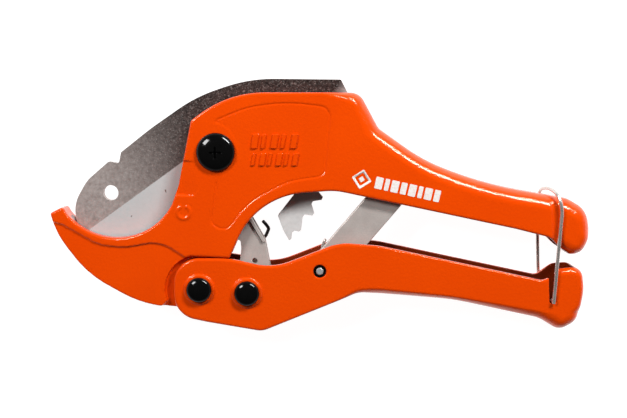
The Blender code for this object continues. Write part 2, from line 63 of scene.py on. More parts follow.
# Pivot axes, all parallel to Z
BLADE_PIVOT = (0.0, 0.0)
HANDLE_PIVOT = (-7.0, -53.5)
PAWL_PIVOT = (11.6, -54.9)
STRUT_PIVOT = (40.0, -46.4)
CLIP_PIVOT = (131.0, -58.0)

# Pins and screws
BLADE_SCREW_R = 4.0
BLADE_HEAD_R = 7.45
BLADE_HEAD_H = 3.0
BLADE_NUT_R = 7.2
PIN_R = 2.6
PIN_HEAD_R = 4.9
PIN_HEAD_H = 2.4
PIN_PAD_R = 5.8
PIN_PAD_H = 0.7
PIN_CAP_H = 1.3
HEAD_GAP = 0.2
HEAD_RIM = 0.3
STRUT_PIN_R = 1.45
STRUT_HOLE_R = 2.5
DRIVE_PIN_R = 1.2

# Blade and ratchet
BLADE_TIP_REACH = 63.0
BLADE_TAIL_REACH = 57.4
TOOTH_TIP_R = 45.0
# Each tooth: the angle of its tip, and the angle and radius of the gullet that follows it
TEETH = ((-50.9, -47.0, 43.4), (-44.1, -37.0, 42.2), (-33.6, -28.6, 42.2), (-24.4, -20.4, 41.6))
REST_NOTCH_R = 38.3
REST_NOTCH_ANGLES = (-17.9, -12.2)
TOOTH_SWEEP_R = 45.4
GRIND_WIDTH = 13.6
GRIND_EDGE = 0.3
GRIND_ANGLE = 35.8
GRIND_START = (-12.6, -3.3)
GRIND_END = (-72.0, -46.1)
HANG_HOLE = (-42.0, -16.3, 3.0)

# Strut, pawl and wire clip
STRUT_LENGTH = 46.0
STRUT_ANGLE = 49.5
STRUT_LEFT = 4.9
STRUT_RIGHT = 7.6
PAWL_LENGTH = 23.8
PAWL_ANGLE = 101.0
CLIP_WIRE_R = 0.7
CLIP_HALF = CAST_HALF + GAP + CLIP_WIRE_R
BLADE_SPRING_R = 0.5
STRUT_SPRING_R = 0.55
PAWL_SPRING_R = 0.68

# Castings: the cell of the grid they are shaped on, and what is cast into their faces
CELL = 0.34
SMOOTHING = 0.22
FILLET = 0.12
PANEL_DEPTH = 0.12
PANEL_LINE_DEPTH = 0.28
PANEL_LINE_HALF = 0.22
PANEL_LINE_INSET = 0.3
SCREW_BOSS_R = 10.6
HOOK_STEP = 0.65
ROUND_MARK = (-12.6, -23.3)
RIB_HEIGHT = 0.7
RIB_TAPER = 0.2
RIB_LEAN = 0.9

# Studio, in metres
FLOOR_DROP = 0.0002
FLOOR_GLOW = 0.97
WALL_LIGHT = 0.4
CEILING_LIGHT = 0.03
LIGHT_TARGET = (0.035, -0.02, 0.01)
LIGHT_DISTANCE = 0.8
# Each softbox: name, azimuth and tilt in degrees, width, height, watts
SOFTBOXES = (("left_softbox", 140, 47, 0.22, 0.22, 4.1), ("right_softbox", 54, 57, 0.38, 0.10, 6.5))
CAMERA_PLACE = (0.03756, 0.01995, 0.3982)
CAMERA_TILT = -6.3
CAMERA_LENS = 56.73


# Outlines

def arc(centre, radius, start, end, steps):
    """Points on an arc, from one angle to another in degrees."""
    points = []
    for i in range(steps + 1):
        angle = math.radians(start + (end - start) * i / steps)
        points.append((centre[0] + radius * math.cos(angle), centre[1] + radius * math.sin(angle)))
    return points


def rounded(corners, turn_per_step=2.0):
    """The closed outline through corners (x, y) or (x, y, radius), each radius as a tangent arc."""
    outline = []
    count = len(corners)
    for i, corner in enumerate(corners):
        here = Vector(corner[:2])
        if len(corner) == 2 or corner[2] == 0:
            outline.append(tuple(here))
            continue
        before = (Vector(corners[i - 1][:2]) - here).normalized()
        after = (Vector(corners[(i + 1) % count][:2]) - here).normalized()
        spread = before.angle(after)
        turn = math.pi - spread
        tangent = corner[2] / math.tan(spread / 2)
        start = here + before * tangent
        centre = here + (before + after).normalized() * (corner[2] / math.sin(spread / 2))
        first = math.atan2(start.y - centre.y, start.x - centre.x)
        side = 1.0 if before.x * after.y - before.y * after.x < 0 else -1.0
        steps = max(2, round(math.degrees(turn) / turn_per_step))
        for k in range(steps + 1):
            angle = first + side * turn * k / steps
            outline.append((centre.x + corner[2] * math.cos(angle), centre.y + corner[2] * math.sin(angle)))
    return outline


def smooth_path(points, pieces):
    """A curve through points in space, with several steps between each pair (Catmull-Rom)."""
    points = [Vector(p) for p in points]
    ends = [points[0] * 2 - points[1]] + points + [points[-1] * 2 - points[-2]]
    path = []
    for a, b, c, d in zip(ends, ends[1:], ends[2:], ends[3:]):
        for k in range(pieces):
            t = k / pieces
            path.append(0.5 * (2 * b + (c - a) * t + (2 * a - 5 * b + 4 * c - d) * t ** 2
                               + (3 * b - a - 3 * c + d) * t ** 3))
    path.append(points[-1])
    return path


def coil(centre, radius, start, sweep, low, rise, steps):
    """Points on a rising coil, from a start angle through a sweep in degrees."""
    points = []
    for i in range(steps + 1):
        share = i / steps
        angle = math.radians(start + sweep * share)
        points.append((centre[0] + radius * math.cos(angle), centre[1] + radius * math.sin(angle),
                       low + rise * share))
    return points


def body_outline():
    ear_relief = arc(HANDLE_PIVOT, 13.4, 104, 200, 24)
    cradle = arc((-39.4, -8.4), 25.1, 219, 332, 40)
    corners = [(-9.5, 12.0, 1.5), (5.0, 22.8, 42), (55.4, 22.8, 6), (62.8, 9.0, 5.5), (79.7, -2.9, 70),
               (102.0, -12.2, 150), (136.8, -18.3, 9), (144.2, -22.6, 9), (146.2, -34.2, 13),
               (139.4, -42.9, 5.5), (129.5, -33.2, 8), (116.0, -29.8, 40), (46.0, -14.9, 25)]
    corners += arc((36.0, -46.2), 30.5, 94, 158, 26) + [(4.9, -41.2)]
    corners += ear_relief
    corners += [(-21.8, -60.2, 1.0), (-31.0, -58.8, 44), (-51.0, -48.1, 42), (-63.4, -32.0, 34),
                (-65.5, -24.1, 0.8), (-60.4, -21.5, 1.2)]
    corners += cradle + [(-14.6, -13.0, 14)]
    return rounded(corners)


def lug_outline():
    y = HANDLE_PIVOT[1]
    return rounded([(-28.0, -50.0), (-24.0, -38.0), (3.8, -38.0), (3.8, y, 9.0), (1.8, y - 9.0, 7.0),
                    (-13.0, y - 9.0, 7.0), (-15.5, -61.0, 2.0), (-24.0, -60.0)])


def body_hollow_outline():
    return rounded([(-9.0, -12.0, 4), (-8.2, 7.0, 4), (7.5, 18.0, 12), (52.0, 18.0, 6), (58.0, 6.3, 6),
                    (78.0, -7.6, 60), (101.0, -15.6, 100), (133.5, -21.8, 4), (139.6, -27.0, 4),
                    (140.0, -32.0, 3), (134.0, -46.0), (60.0, -46.0), (5.2, -41.5), (2.0, -33.0, 6),
                    (2.0, -25.0, 6)])


def blade_sweep_outline():
    sweep = arc(BLADE_PIVOT, BLADE_TIP_REACH, 190, 240, 24)
    sweep += arc(BLADE_PIVOT, TOOTH_SWEEP_R, 248, 315, 24)
    sweep += arc(BLADE_PIVOT, BLADE_TAIL_REACH, 320, 391, 30)
    return sweep + [(40.0, 36.0), (-30.0, 36.0)]


def panel_outline():
    """The sunk panel on each cheek."""
    return rounded([(0.0, 12.4, 1.5), (12.0, 17.4, 40), (27.5, 19.4, 60), (44.5, 17.3, 4.5),
                    (42.0, -9.4, 4), (28.0, -11.4, 26), (12.4, -19.4, 30), (3.4, -31.6, 4.4),
                    (-2.4, -27.4, 3), (0.3, -8.0, 8)])


def hook_step_outline():
    """The lower part of the hook, a step below the cheek."""
    return rounded([(-70.0, -26.0), (-60.6, -28.4, 3), (-46.2, -36.2, 16), (-36.0, -37.2, 30),
                    (-22.0, -34.4, 14), (-9.6, -42.6, 9), (-4.0, -80.0), (-70.0, -80.0)])


def handle_outline():
    return rounded([(-17.0, -41.3, 10), (5.0, -41.3, 40), (21.5, -45.3, 24), (47.5, -35.2, 22),
                    (63.0, -36.4, 40), (127.6, -50.2, 4), (133.6, -45.3, 4), (142.4, -44.6, 4.5),
                    (143.6, -54.0, 20), (141.4, -66.8, 6), (134.5, -70.6, 5), (126.5, -65.5, 14),
                    (92.0, -58.0, 80), (55.0, -55.0, 10), (17.5, -70.3, 8), (-4.0, -66.6, 20),
                    (-17.0, -63.8, 10)])


def grip_hollow_outline():
    return rounded([(-30.0, -30.0), (-30.0, -80.0), (2.2, -80.0), (2.2, -63.6, 1.5), (17.5, -66.4, 8),
                    (55.5, -48.8, 14), (92.0, -52.6, 80), (124.0, -60.0, 12), (134.5, -66.3, 4),
                    (138.5, -63.6, 3), (140.0, -54.0, 12), (139.0, -30.0)])


def tooth_outline():
    points = []
    for tip, gullet, radius in TEETH:
        points += arc(BLADE_PIVOT, TOOTH_TIP_R, tip - 0.7, tip + 0.8, 3)
        points += arc(BLADE_PIVOT, radius, gullet - 0.9, gullet + 0.9, 3)
    points += arc(BLADE_PIVOT, REST_NOTCH_R, *REST_NOTCH_ANGLES, 5)
    points += arc(BLADE_PIVOT, TOOTH_TIP_R, -10.6, -9.2, 3)
    return points


def blade_outline():
    spine = [(48.2, 27.8, 0.6), (12.5, 28.2, 60), (-8.4, 21.0, 60), (-26.0, 8.8, 90), (-37.7, -0.4, 0.6),
             (-38.6, -4.8, 1.0), (-42.6, -4.0, 0.8), (-51.2, -11.4, 14), (-57.3, -21.9, 14),
             (-54.4, -31.2, 9), (-46.2, -42.3, 3), (-41.5, -40.9, 2)]
    hub = [(-7.5, -16.4, 6), (4.0, -17.5, 12), (22.0, -9.0, 8), (32.9, -9.4, 1.5), (30.7, -16.0, 3),
           (23.5, -25.3, 1.0), (25.6, -31.0)]
    tail = [(42.6, -4.0, 2), (45.5, 8.0, 20), (50.9, 22.6, 1.2)]
    return rounded(spine + hub + tooth_outline() + tail)


def pawl_outline():
    return rounded([(17.6, -58.9, 4), (20.8, -47.0, 6), (18.5, -35.0, 3), (13.0, -25.4, 1.4),
                    (4.4, -26.0, 2), (4.4, -33.6, 1.5), (8.9, -34.9, 1.0), (9.2, -38.0, 6),
                    (7.4, -54.0, 6), (8.2, -59.0, 3.6)])


def strut_point(along, across):
    """A place on the link, from its lower pivot: along it, and across it to the right."""
    turn = math.radians(STRUT_ANGLE)
    direction = Vector((math.cos(turn), math.sin(turn)))
    point = Vector(STRUT_PIVOT) + direction * along + Vector((direction.y, -direction.x)) * across
    return (point.x, point.y)


def drive_point():
    """The middle of the rivet at the pawl's upper end."""
    turn = math.radians(PAWL_ANGLE)
    return (PAWL_PIVOT[0] + PAWL_LENGTH * math.cos(turn), PAWL_PIVOT[1] + PAWL_LENGTH * math.sin(turn))


# Materials

def new_material(name, **values):
    """A Principled material with plain values set on its sockets."""
    mat = bpy.data.materials.new(name)
    mat.use_nodes = True
    shader = mat.node_tree.nodes["Principled BSDF"]
    for key, value in values.items():
        shader.inputs[key.replace("_", " ")].default_value = value
    return mat


class Shading:
    """Short ways to add nodes to a material."""

    def __init__(self, mat):
        self.tree = mat.node_tree
        self.shader = self.tree.nodes["Principled BSDF"]
        self.place = self.tree.nodes.new("ShaderNodeTexCoord").outputs["Object"]

    def feed(self, socket, value):
        if isinstance(value, bpy.types.NodeSocket):
            self.tree.links.new(value, socket)
        else:
            socket.default_value = value

    def noise(self, scale, detail=2.0, rough=0.5):
        node = self.tree.nodes.new("ShaderNodeTexNoise")
        self.feed(node.inputs["Vector"], self.place)
        node.inputs["Scale"].default_value = scale
        node.inputs["Detail"].default_value = detail
        node.inputs["Roughness"].default_value = rough
        return node.outputs[0]

    def spread(self, value, low, high, to_low=0.0, to_high=1.0, smooth=False):
        """A value stretched from one range to another, and held at its ends."""
        node = self.tree.nodes.new("ShaderNodeMapRange")
        node.interpolation_type = "SMOOTHSTEP" if smooth else "LINEAR"
        for name, number in (("From Min", low), ("From Max", high), ("To Min", to_low), ("To Max", to_high)):
            node.inputs[name].default_value = number
        self.feed(node.inputs["Value"], value)
        return node.outputs[0]

    def math(self, operation, a, b=0.0):
        node = self.tree.nodes.new("ShaderNodeMath")
        node.operation = operation
        self.feed(node.inputs[0], a)
        self.feed(node.inputs[1], b)
        return node.outputs[0]

    def mix(self, share, a, b):
        node = self.tree.nodes.new("ShaderNodeMix")
        node.data_type = "RGBA"
        self.feed(node.inputs[0], share)
        self.feed(node.inputs[6], a if isinstance(a, bpy.types.NodeSocket) else (*a, 1.0))
        self.feed(node.inputs[7], b if isinstance(b, bpy.types.NodeSocket) else (*b, 1.0))
        return node.outputs[2]

    def along(self, x, y, offset):
        """How far each place is along a direction in the plane, in metres, less an offset."""
        node = self.tree.nodes.new("ShaderNodeVectorMath")
        node.operation = "DOT_PRODUCT"
        self.feed(node.inputs[0], self.place)
        node.inputs[1].default_value = (x, y, 0)
        return self.math("SUBTRACT", node.outputs["Value"], offset)

    def colour(self, value):
        self.feed(self.shader.inputs["Base Color"], value)

    def roughness(self, value):
        self.feed(self.shader.inputs["Roughness"], value)

    def bump(self, height, strength, distance):
        node = self.tree.nodes.new("ShaderNodeBump")
        node.inputs["Strength"].default_value = strength
        node.inputs["Distance"].default_value = distance
        self.feed(node.inputs["Height"], height)
        self.feed(self.shader.inputs["Normal"], node.outputs[0])
        self.feed(self.shader.inputs["Coat Normal"], node.outputs[0])


def powder_coat(name, body, deep, shade):
    """Glossy coat with a fine orange peel; the shade is the colour of its flecks."""
    mat = new_material(name, IOR=1.45, Specular_Tint=(1.0, 0.78, 0.55, 1.0),
                       Coat_Weight=0.3, Coat_Roughness=0.07)
    s = Shading(mat)
    cloud = s.spread(s.noise(35, 3), 0.3, 0.7)
    fleck = s.spread(s.noise(1500, 2, 0.6), 0.35, 0.65)
    base = s.mix(cloud, deep, body)
    s.colour(s.mix(s.math("MULTIPLY", fleck, 0.22), base, shade))
    s.roughness(s.spread(fleck, 0, 1, 0.13, 0.2))
    peel = s.math("ADD", s.noise(900, 1), s.math("MULTIPLY", s.noise(2400, 1), 0.6))
    s.bump(peel, 0.75, 0.00009)
    return mat


def blade_steel():
    """Dark tempered flats, mottled and darker towards the spine's rear, and a bright ground bevel."""
    mat = new_material("blade_steel", Metallic=1.0)
    s = Shading(mat)
    turn = math.radians(GRIND_ANGLE)
    across = s.along(math.sin(turn), -math.cos(turn),
                     (math.sin(turn) * GRIND_START[0] - math.cos(turn) * GRIND_START[1]) * MM)
    behind = s.along(math.cos(turn), math.sin(turn),
                     (math.cos(turn) * GRIND_START[0] + math.sin(turn) * GRIND_START[1]) * MM)
    ground = s.math("MULTIPLY", s.spread(across, -0.00012, 0.00012), s.spread(behind, 0.00012, -0.00012))
    toward_nose = s.spread(s.along(-math.cos(turn), -math.sin(turn), 0.012), -0.022, 0.040, smooth=True)
    toward_teeth = s.spread(s.along(0.8, -0.6, 0.0), 0.022, 0.030)
    mottle = s.spread(s.noise(650, 5, 0.75), 0.34, 0.66)
    scratch = s.spread(s.noise(900, 4, 0.7), 0.4, 0.66)
    speck = s.spread(s.noise(1700, 3, 0.7), 0.54, 0.66)
    rear = s.mix(mottle, (0.004, 0.002, 0.002), (0.045, 0.027, 0.023))
    front = s.mix(mottle, (0.44, 0.36, 0.335), (0.54, 0.475, 0.45))
    flat = s.mix(s.math("POWER", toward_nose, 1.35), rear, front)
    flat = s.mix(s.math("MULTIPLY", scratch, 0.14), flat, (0.38, 0.30, 0.27))
    flat = s.mix(s.math("MULTIPLY", speck, 0.35), flat, (0.62, 0.56, 0.53))
    flat = s.mix(toward_teeth, flat, s.mix(mottle, (0.60, 0.59, 0.58), (0.68, 0.67, 0.66)))
    bright = s.mix(mottle, (0.53, 0.55, 0.55), (0.56, 0.58, 0.58))
    pits = s.spread(s.noise(420, 2, 0.5), 0.725, 0.745)
    bright = s.mix(pits, bright, (0.16, 0.12, 0.11))
    s.colour(s.mix(ground, flat, bright))
    polish = s.math("MAXIMUM", ground, toward_teeth)
    s.feed(s.shader.inputs["Metallic"], s.spread(polish, 0, 1, 0.55, 0.05))
    rough = s.spread(mottle, 0, 1, 0.38, 0.55)
    s.roughness(s.math("ADD", s.math("MULTIPLY", rough, s.math("SUBTRACT", 1.0, ground)),
                       s.math("MULTIPLY", ground, 0.5)))
    s.bump(s.math("ADD", mottle, s.math("MULTIPLY", scratch, 0.6)), 0.12, 0.00005)
    return mat


def tumbled_steel(name, dark, light):
    """Dull steel, clouded and finely grained."""
    mat = new_material(name, Metallic=0.35)
    s = Shading(mat)
    cloud = s.spread(s.noise(140, 5, 0.6), 0.3, 0.7)
    grain = s.spread(s.noise(1500, 3, 0.6), 0.35, 0.65)
    base = s.mix(cloud, dark, light)
    s.colour(s.mix(s.math("MULTIPLY", grain, 0.25), base, tuple(c * 0.72 for c in dark)))
    s.roughness(s.spread(grain, 0, 1, 0.34, 0.5))
    s.bump(grain, 0.18, 0.00003)
    return mat


def black_gloss():
    """Polished black oxide on the screw, nut and pins, also used for the black rings that are painted shade
    in the link's pin hole.
    """
    mat = new_material("black_oxide_gloss", IOR=1.38)
    s = Shading(mat)
    s.colour(s.mix(s.noise(300, 3), (0.002, 0.002, 0.002), (0.004, 0.004, 0.004)))
    s.roughness(s.spread(s.noise(600, 3), 0.3, 0.7, 0.07, 0.12))
    s.bump(s.noise(500, 1), 0.06, 0.00004)
    return mat


def wire_finish(name, dark, light, metallic):
    """Drawn wire, slightly uneven."""
    mat = new_material(name, Metallic=metallic)
    s = Shading(mat)
    s.colour(s.mix(s.spread(s.noise(500, 3), 0.3, 0.7), dark, light))
    s.roughness(s.spread(s.noise(900, 2), 0.3, 0.7, 0.2, 0.34))
    s.bump(s.noise(1200, 2), 0.1, 0.00002)
    return mat


def printed_ink():
    """White ink, with the coat showing through in specks."""
    mat = new_material("white_ink", IOR=1.45)
    s = Shading(mat)
    s.colour(s.mix(s.spread(s.noise(1600, 3), 0.35, 0.7), (0.92, 0.90, 0.88), (0.84, 0.70, 0.64)))
    s.roughness(s.spread(s.noise(700, 2), 0.3, 0.7, 0.4, 0.55))
    s.bump(s.noise(700, 1), 0.3, 0.00005)
    return mat


COAT = powder_coat("orange_powder_coat", (0.89, 0.072, 0.0), (0.84, 0.064, 0.0), (0.76, 0.050, 0.0))
# A darker copy of the coat: painted shade for the walls of the hollows.
PAINTED_SHADE_COAT = powder_coat("painted_shade_in_hollows", (0.20, 0.020, 0.003), (0.16, 0.016, 0.003),
                        (0.10, 0.010, 0.002))
BLADE_STEEL = blade_steel()
STEEL = tumbled_steel("tumbled_steel", (0.56, 0.50, 0.465), (0.68, 0.62, 0.58))
PIN_STEEL = tumbled_steel("pin_steel", (0.40, 0.40, 0.40), (0.55, 0.55, 0.55))
BLACK = black_gloss()
BLACK_WIRE = wire_finish("black_spring_wire", (0.012, 0.011, 0.011), (0.03, 0.028, 0.027), 0.5)
BRIGHT_WIRE = wire_finish("bright_spring_wire", (0.60, 0.55, 0.51), (0.70, 0.65, 0.61), 0.75)
INK = printed_ink()


# Solids from outlines

def add_object(name, mesh, mat, smooth_angle=35):
    if mat:
        mesh.materials.append(mat)
    mesh.shade_smooth()
    if smooth_angle:
        mesh.set_sharp_from_angle(angle=math.radians(smooth_angle))
    obj = bpy.data.objects.new(name, mesh)
    bpy.context.scene.collection.objects.link(obj)
    return obj


def finish_mesh(name, bm, mat=None, smooth_angle=35):
    """Turn a shape in millimetres into a piece in metres."""
    bmesh.ops.recalc_face_normals(bm, faces=bm.faces[:])
    bmesh.ops.scale(bm, verts=bm.verts[:], vec=(MM, MM, MM))
    mesh = bpy.data.meshes.new(name)
    bm.to_mesh(mesh)
    bm.free()
    return add_object(name, mesh, mat, smooth_angle)


def prism(name, outline, low, high, mat=None):
    """Extrude a closed outline between two heights above the middle plane."""
    bm = bmesh.new()
    face = bm.faces.new([bm.verts.new((x, y, MID + low)) for x, y in outline])
    raised = bmesh.ops.extrude_face_region(bm, geom=[face])
    top = [v for v in raised["geom"] if isinstance(v, bmesh.types.BMVert)]
    bmesh.ops.translate(bm, verts=top, vec=(0, 0, high - low))
    return finish_mesh(name, bm, mat)


def turned(name, centre, profile, mat=None, steps=72):
    """Turn a profile of (radius, height above the middle plane) about a vertical axis."""
    bm = bmesh.new()
    rings = []
    for radius, height in profile:
        if radius == 0:
            rings.append([bm.verts.new((*centre, MID + height))])
        else:
            circle = arc(centre, radius, 0, 360, steps)[:-1]
            rings.append([bm.verts.new((x, y, MID + height)) for x, y in circle])
    for low, high in zip(rings, rings[1:]):
        for k in range(steps):
            after = (k + 1) % steps
            corners = [low[k % len(low)], low[after % len(low)], high[after % len(high)], high[k % len(high)]]
            bm.faces.new(list(dict.fromkeys(corners)))
    if profile[0] == profile[-1]:
        bmesh.ops.remove_doubles(bm, verts=rings[0] + rings[-1], dist=0.0001)
    else:
        for ring in (rings[0], rings[-1]):
            if len(ring) > 1:
                bm.faces.new(ring)
    return finish_mesh(name, bm, mat)


def wire(name, path, radius, mat, sides=16):
    """Round wire along a path, with slightly domed ends."""
    bm = bmesh.new()
    rings = []
    normal = Vector((0, 0, 1))
    last = len(path) - 1
    for i, point in enumerate(path):
        ahead = (Vector(path[min(i + 1, last)]) - Vector(path[max(i - 1, 0)])).normalized()
        normal = normal - ahead * normal.dot(ahead)
        if normal.length < 0.05:
            normal = ahead.orthogonal()
        normal.normalize()
        side = ahead.cross(normal)
        shells = [(0.0, 1.0)]
        if i == 0:
            shells = [(-0.35, 0.62), (0.0, 1.0)]
        elif i == last:
            shells = [(0.0, 1.0), (0.35, 0.62)]
        for shift, share in shells:
            ring = []
            for k in range(sides):
                angle = 2 * math.pi * k / sides
                offset = (normal * math.cos(angle) + side * math.sin(angle)) * radius * share
                ring.append(bm.verts.new(Vector(point) + offset + ahead * shift * radius))
            rings.append(ring)
    for low, high in zip(rings, rings[1:]):
        for k in range(sides):
            after = (k + 1) % sides
            bm.faces.new((low[k], low[after], high[after], high[k]))
    bm.faces.new(rings[0])
    bm.faces.new(rings[-1])
    return finish_mesh(name, bm, mat, 50)


def cut(target, tool, operation="DIFFERENCE"):
    """Cut one piece with another now, and drop the cutter."""
    step = target.modifiers.new("cut", "BOOLEAN")
    step.operation = operation
    step.solver = "EXACT"
    step.object = tool
    bake(target)
    bpy.data.objects.remove(tool, do_unlink=True)


def bake(obj):
    """Make what the modifiers give into the piece's own mesh."""
    graph = bpy.context.evaluated_depsgraph_get()
    mesh = bpy.data.meshes.new_from_object(obj.evaluated_get(graph))
    obj.modifiers.clear()
    obj.data = mesh


def soften(obj, width, segments):
    """Small rounded edges, with even shading across the flats."""
    step = obj.modifiers.new("edges", "BEVEL")
    step.width = width * MM
    step.segments = segments
    step.limit_method = "ANGLE"
    step.angle_limit = math.radians(30)
    step.harden_normals = True
    step.use_clamp_overlap = True


def cylinder(centre, radius, low, high, steps=64):
    """A cutter for a round hole."""
    return turned("cutter", centre, [(radius, low), (radius, high)], None, steps)


def fit(piece, body, node):
    """The piece stands for a node and rides on its body, and the node's own part is hidden."""
    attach(piece, body)
    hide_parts(node)


def trim(piece, body):
    """A piece with no node of its own, which rides on a body."""
    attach(piece, body)


# Castings, as fields of distance on a grid of cells

class Field:
    """Distances to a solid at the corners of a grid of cells: negative inside, positive outside."""

    def __init__(self, low, high):
        self.x, self.y, self.z = (np.arange(a, b + CELL, CELL, dtype=np.float32) for a, b in zip(low, high))
        self.up = (self.z - MID)[None, None, :]
        self.values = None
        self.hollow = None

    def flat(self, outline):
        """Distance to an outline, in the plane."""
        x = self.x[:, None]
        y = self.y[None, :]
        nearest = np.full((len(self.x), len(self.y)), 1e9, np.float32)
        inside = np.zeros(nearest.shape, bool)
        for (ax, ay), (bx, by) in zip(outline, outline[1:] + outline[:1]):
            ex, ey = bx - ax, by - ay
            length = ex * ex + ey * ey
            if length < 1e-12:
                continue
            share = np.clip(((x - ax) * ex + (y - ay) * ey) / length, 0, 1)
            np.minimum(nearest, (x - ax - share * ex) ** 2 + (y - ay - share * ey) ** 2, out=nearest)
            if ay != by:
                inside ^= ((ay > y) != (by > y)) & (x < ax + (y - ay) * ex / ey)
        return np.where(inside, -1, 1) * np.sqrt(nearest)

    def disc(self, centre, radius):
        """Distance to a circle, in the plane."""
        return np.hypot(self.x[:, None] - centre[0], self.y[None, :] - centre[1]) - radius

    def soft_prism(self, flat, half, radius):
        """A prism about the middle plane, whose edge radius and half height may vary over the plane."""
        radius = np.broadcast_to(np.asarray(radius, np.float32), flat.shape)[:, :, None]
        half = np.broadcast_to(np.asarray(half, np.float32), flat.shape)[:, :, None]
        across = flat[:, :, None] + radius
        up = np.abs(self.up) - (half - radius)
        return (np.minimum(np.maximum(across, up), 0)
                + np.hypot(np.maximum(across, 0), np.maximum(up, 0)) - radius)

    def layer(self, flat, low, high):
        """A plain prism between two heights above the middle plane, which may vary over the plane."""
        low = np.broadcast_to(np.asarray(low, np.float32), flat.shape)[:, :, None]
        high = np.broadcast_to(np.asarray(high, np.float32), flat.shape)[:, :, None]
        return np.maximum(flat[:, :, None], np.maximum(low - self.up, self.up - high))

    def add(self, solid, blend):
        self.values = -smooth_max(-self.values, -solid, blend)

    def remove(self, solid, blend):
        self.values = smooth_max(self.values, -solid, blend)

    def hollow_out(self, solid, blend):
        """Remove a solid, and remember it as a hollow whose walls get painted shade."""
        self.remove(solid, blend)
        self.hollow = solid if self.hollow is None else np.minimum(self.hollow, solid)


def smooth_max(a, b, blend):
    """The greater of two distances, rounded where they meet."""
    near = np.maximum(blend - np.abs(a - b), 0) / blend
    return np.maximum(a, b) + near * near * (blend / 4)


def smooth_step(value, low, high):
    """0 below low, 1 above high, and a smooth slope between."""
    share = np.clip((value - low) / (high - low), 0, 1)
    return share * share * (3 - 2 * share)


def skin(name, field):
    """A closed mesh of quads where the distance is zero: one corner in each cell the surface crosses.

    The faces on the walls of a hollow get a darker copy of the coat, as painted shade.
    """
    values = field.values
    inside = values < 0
    size = np.array(values.shape) - 1
    total = np.zeros(size, np.int8)
    for i, j, k in np.ndindex(2, 2, 2):
        total += inside[i:i + size[0], j:j + size[1], k:k + size[2]]
    cells = np.argwhere((total > 0) & (total < 8))
    number = np.full(size, -1, np.int32)
    number[tuple(cells.T)] = np.arange(len(cells))
    place = np.zeros((len(cells), 3))
    count = np.zeros(len(cells))
    unit = np.eye(3, dtype=int)
    for axis in range(3):
        for u, v in np.ndindex(2, 2):
            start = cells + u * unit[(axis + 1) % 3] + v * unit[(axis + 2) % 3]
            first = values[tuple(start.T)]
            second = values[tuple((start + unit[axis]).T)]
            hit = (first < 0) != (second < 0)
            share = first[hit] / (first[hit] - second[hit])
            place[hit] += start[hit] + share[:, None] * unit[axis]
            count[hit] += 1
    place = place / count[:, None] * CELL + np.array([field.x[0], field.y[0], field.z[0]])
    quads = []
    for axis in range(3):
        a, b = unit[(axis + 1) % 3], unit[(axis + 2) % 3]
        ahead = [slice(None)] * 3
        behind = [slice(None)] * 3
        ahead[axis] = slice(1, None)
        behind[axis] = slice(None, -1)
        points = np.argwhere(inside[tuple(behind)] != inside[tuple(ahead)])
        corners = np.stack([number[tuple((points - shift).T)] for shift in (0 * a, a, a + b, b)], axis=1)
        outward = inside[tuple(points.T)]
        corners[~outward] = corners[~outward][:, ::-1]
        quads.append(corners)
    quads = np.concatenate(quads)
    place = relaxed(place, quads, SMOOTHING)
    mesh = bpy.data.meshes.new(name)
    mesh.from_pydata((place * MM).tolist(), [], quads.tolist())
    mesh.update()
    casting = add_object(name, mesh, COAT, None)
    # The walls of the hollows get the darker copy of the coat, as painted shade.
    mesh.materials.append(PAINTED_SHADE_COAT)
    depth = sum(field.hollow[tuple((cells + shift).T)] for shift in np.ndindex(2, 2, 2)) / 8
    in_hollow = depth[quads].mean(axis=1) < 0.9 * CELL
    mesh.polygons.foreach_set("material_index", in_hollow.astype(np.int32))
    return casting


def relaxed(place, quads, share):
    """Each corner moved part of the way to the middle of its neighbours."""
    total = np.zeros_like(place)
    count = np.zeros(len(place))
    for k in range(4):
        for other in (1, 3):
            np.add.at(total, quads[:, k], place[quads[:, (k + other) % 4]])
            np.add.at(count, quads[:, k], 1)
    return place + (total / count[:, None] - place) * share


